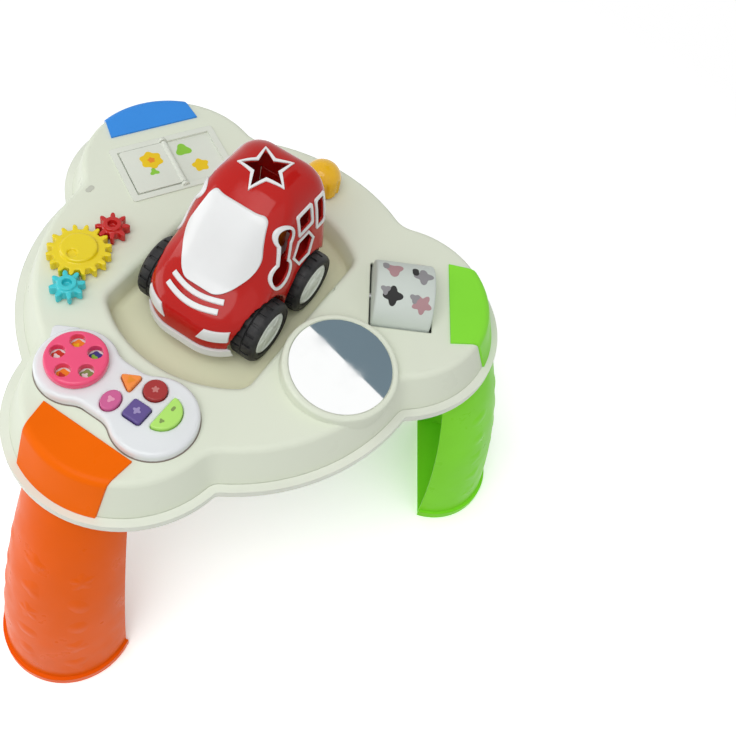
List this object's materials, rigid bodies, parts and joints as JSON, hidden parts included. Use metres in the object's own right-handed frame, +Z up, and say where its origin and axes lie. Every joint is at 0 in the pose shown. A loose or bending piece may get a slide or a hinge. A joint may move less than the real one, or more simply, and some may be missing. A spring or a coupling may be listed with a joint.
{
  "type": "activity table",
  "caption": "Toddler activity table on splayed hollow legs with gears, a mirror, a roller, a turning page, a button panel with dial and a lift-out shape-sorter car in a dock.",
  "frame": {"origin": "on the floor, on the axis that the lobes and legs are spaced about", "axes": "+Z up, +X towards the orange lobe with the button panel, +Y to the left of that direction"},
  "size_m": [0.4649, 0.513, 0.4033],
  "materials": {
    "cream": "satin gloss moulding",
    "cream_light": "satin gloss moulding",
    "orange": "satin gloss moulding",
    "green": "satin gloss moulding",
    "blue": "satin gloss moulding",
    "red": "high gloss moulding",
    "white": "high gloss moulding",
    "lilac": "high gloss moulding",
    "pink": "high gloss moulding",
    "magenta": "high gloss moulding",
    "maroon": "high gloss moulding",
    "purple": "high gloss moulding",
    "lime": "high gloss moulding",
    "yellow": "high gloss moulding",
    "teal": "high gloss moulding",
    "amber": "high gloss moulding",
    "mixed_blocks": "satin gloss moulding",
    "tyre": "matt moulded tread",
    "hub_white": "matt moulding",
    "mirror": "polished acrylic",
    "print_card": "printed label",
    "steel": "bright drawn",
    "board": "lacquered board",
    "pad": "matt silicone",
    "black": "matt",
    "cell": "sleeved can",
    "spring": "plated"
  },
  "bodies": {
    "table": {"table_top": "cream", "base_cover": "cream_light", "orange_cap": "orange", "green_cap": "green", "blue_cap": "blue", "orange_leg": "orange", "green_leg": "green", "blue_leg": "blue", "leg_screws": "steel", "cover_screws": "steel", "panel_screws": "steel", "door_screw": "steel", "mirror_disc": "mirror", "roller_axle": "steel", "panel_housing": "lilac", "circuit_board": "board", "button_pad": "pad", "picture_disc": "print_card", "page_tray": "white", "page_pin": "steel", "speaker": "black", "battery_box": "cream", "battery_contacts": "spring", "batteries": "cell", "battery_door": "cream"},
    "roller": {"roller_drum": "white", "roller_cap": "white"},
    "big_gear": {"yellow_gear": "yellow"},
    "outer_gear": {"teal_gear": "teal"},
    "inner_gear": {"red_gear": "red"},
    "knob": {"turn_knob": "amber"},
    "dial": {"dial": "pink"},
    "triangle_key": {"triangle_button": "orange"},
    "round_key": {"round_button": "maroon"},
    "oval_key": {"oval_button": "magenta"},
    "square_key": {"square_button": "purple"},
    "moon_key": {"moon_button": "lime"},
    "page": {"page_leaf": "white"},
    "car": {"car_body": "red", "car_chassis": "white", "windscreen": "white", "star_trim": "white", "left_window_trims": "white", "right_window_trims": "white", "bonnet_stripes": "white", "headlights": "white", "front_lip": "red", "shape_blocks": "mixed_blocks"},
    "front_wheels": {"front_axle": "steel", "front_hub_caps": "hub_white", "front_left_tyre": "tyre", "front_right_tyre": "tyre"},
    "rear_wheels": {"rear_axle": "steel", "rear_hub_caps": "hub_white", "rear_left_tyre": "tyre", "rear_right_tyre": "tyre"},
    "hatch": {"rear_hatch": "red"}
  },
  "joints": [
    {"name": "roller_spin", "type": "hinge", "parent": "table", "child": "roller", "pos_m": [-0.0695, 0.12038, 0.291], "axis": [-0.5, 0.866, 0], "continuous": true},
    {"name": "big_gear_spin", "type": "hinge", "parent": "table", "child": "big_gear", "pos_m": [0.0635, -0.10998, 0.3], "axis": [0, 0, 1], "continuous": true},
    {"name": "outer_gear_spin", "type": "hinge", "parent": "table", "child": "outer_gear", "pos_m": [0.09569, -0.09387, 0.3], "axis": [0, 0, 1], "continuous": true},
    {"name": "inner_gear_spin", "type": "hinge", "parent": "table", "child": "inner_gear", "pos_m": [0.02776, -0.10566, 0.3], "axis": [0, 0, 1], "continuous": true},
    {"name": "knob_spin", "type": "hinge", "parent": "table", "child": "knob", "pos_m": [-0.129, 0, 0.3], "axis": [0, 0, 1], "continuous": true},
    {"name": "dial_spin", "type": "hinge", "parent": "table", "child": "dial", "pos_m": [0.145, -0.041, 0.305], "axis": [0, 0, 1], "continuous": true},
    {"name": "triangle_press", "type": "slide", "parent": "table", "child": "triangle_key", "axis": [0, 0, -1], "range_m": [0, 0.0015], "stiffness_N_per_m": 500, "springref_m": -0.0004},
    {"name": "round_press", "type": "slide", "parent": "table", "child": "round_key", "axis": [0, 0, -1], "range_m": [0, 0.0015], "stiffness_N_per_m": 500, "springref_m": -0.0004},
    {"name": "oval_press", "type": "slide", "parent": "table", "child": "oval_key", "axis": [0, 0, -1], "range_m": [0, 0.0015], "stiffness_N_per_m": 500, "springref_m": -0.0004},
    {"name": "square_press", "type": "slide", "parent": "table", "child": "square_key", "axis": [0, 0, -1], "range_m": [0, 0.0015], "stiffness_N_per_m": 500, "springref_m": -0.0004},
    {"name": "moon_press", "type": "slide", "parent": "table", "child": "moon_key", "axis": [0, 0, -1], "range_m": [0, 0.0015], "stiffness_N_per_m": 500, "springref_m": -0.0004},
    {"name": "page_turn", "type": "hinge", "parent": "table", "child": "page", "pos_m": [-0.0675, -0.11691, 0.29565], "axis": [-0.5, -0.866, 0], "range_deg": [0, 180]},
    {"name": "car_lift", "type": "slide", "parent": "table", "child": "car", "axis": [0, 0, 1], "range_m": [0, 0.25]},
    {"name": "front_wheels_spin", "type": "hinge", "parent": "car", "child": "front_wheels", "pos_m": [0.031, 0, 0.2983], "axis": [0, 1, 0], "continuous": true},
    {"name": "rear_wheels_spin", "type": "hinge", "parent": "car", "child": "rear_wheels", "pos_m": [-0.031, 0, 0.2983], "axis": [0, 1, 0], "continuous": true},
    {"name": "hatch_swing", "type": "hinge", "parent": "car", "child": "hatch", "pos_m": [-0.0634, 0, 0.3153], "axis": [0, -1, 0], "range_deg": [0, 95]}
  ],
  "couplings": [
    {"joint": "outer_gear_spin", "follows": "big_gear_spin", "ratio": -2},
    {"joint": "inner_gear_spin", "follows": "big_gear_spin", "ratio": -2}
  ]
}
